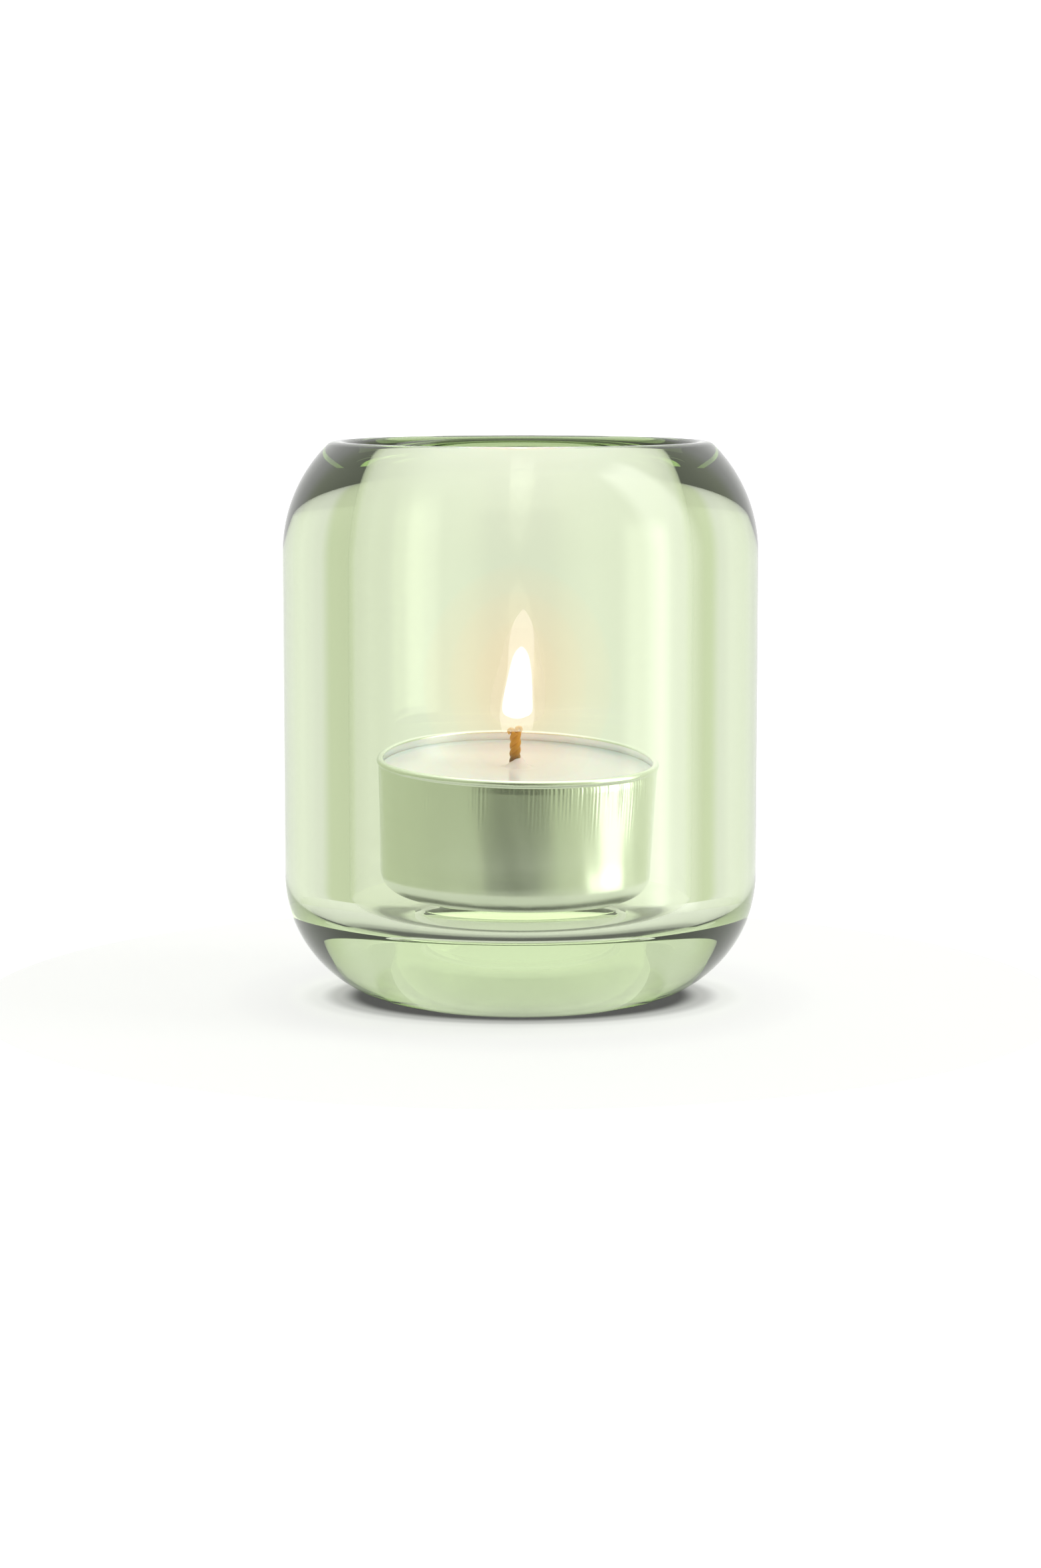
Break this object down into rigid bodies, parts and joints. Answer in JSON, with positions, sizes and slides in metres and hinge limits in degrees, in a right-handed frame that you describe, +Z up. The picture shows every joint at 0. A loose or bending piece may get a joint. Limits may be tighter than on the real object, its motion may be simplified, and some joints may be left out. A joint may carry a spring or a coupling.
{
  "type": "tealight holder",
  "caption": "Thick-walled pale green glass tumbler with a soft shoulder and rounded base, holding a lift-out tealight in an aluminium cup.",
  "frame": {"origin": "on the ground, at the centre of the glass foot", "axes": "+Z up, along the axis of the glass; the glass is round, so the front is the side towards which the tealight leans, -Y"},
  "size_m": [0.065, 0.065, 0.0766],
  "materials": {
    "green_glass": "clear pale green, fire-polished",
    "cup_aluminium": "thin pressed foil, satin with fine wrinkles under the rim",
    "candle_wax": "white paraffin wax, soft waxy sheen",
    "sustainer_steel": "tinned sheet",
    "wick_cotton": "braided cotton, charred and soaked with wax"
  },
  "bodies": {
    "holder": {"glass_holder": "green_glass"},
    "tealight": {"tealight_cup": "cup_aluminium", "wax": "candle_wax", "wick_sustainer": "sustainer_steel", "wick": "wick_cotton"}
  },
  "joints": [
    {"name": "tealight_lift", "type": "slide", "parent": "holder", "child": "tealight", "axis": [0, 0, 1], "range_m": [0, 0.065]}
  ]
}
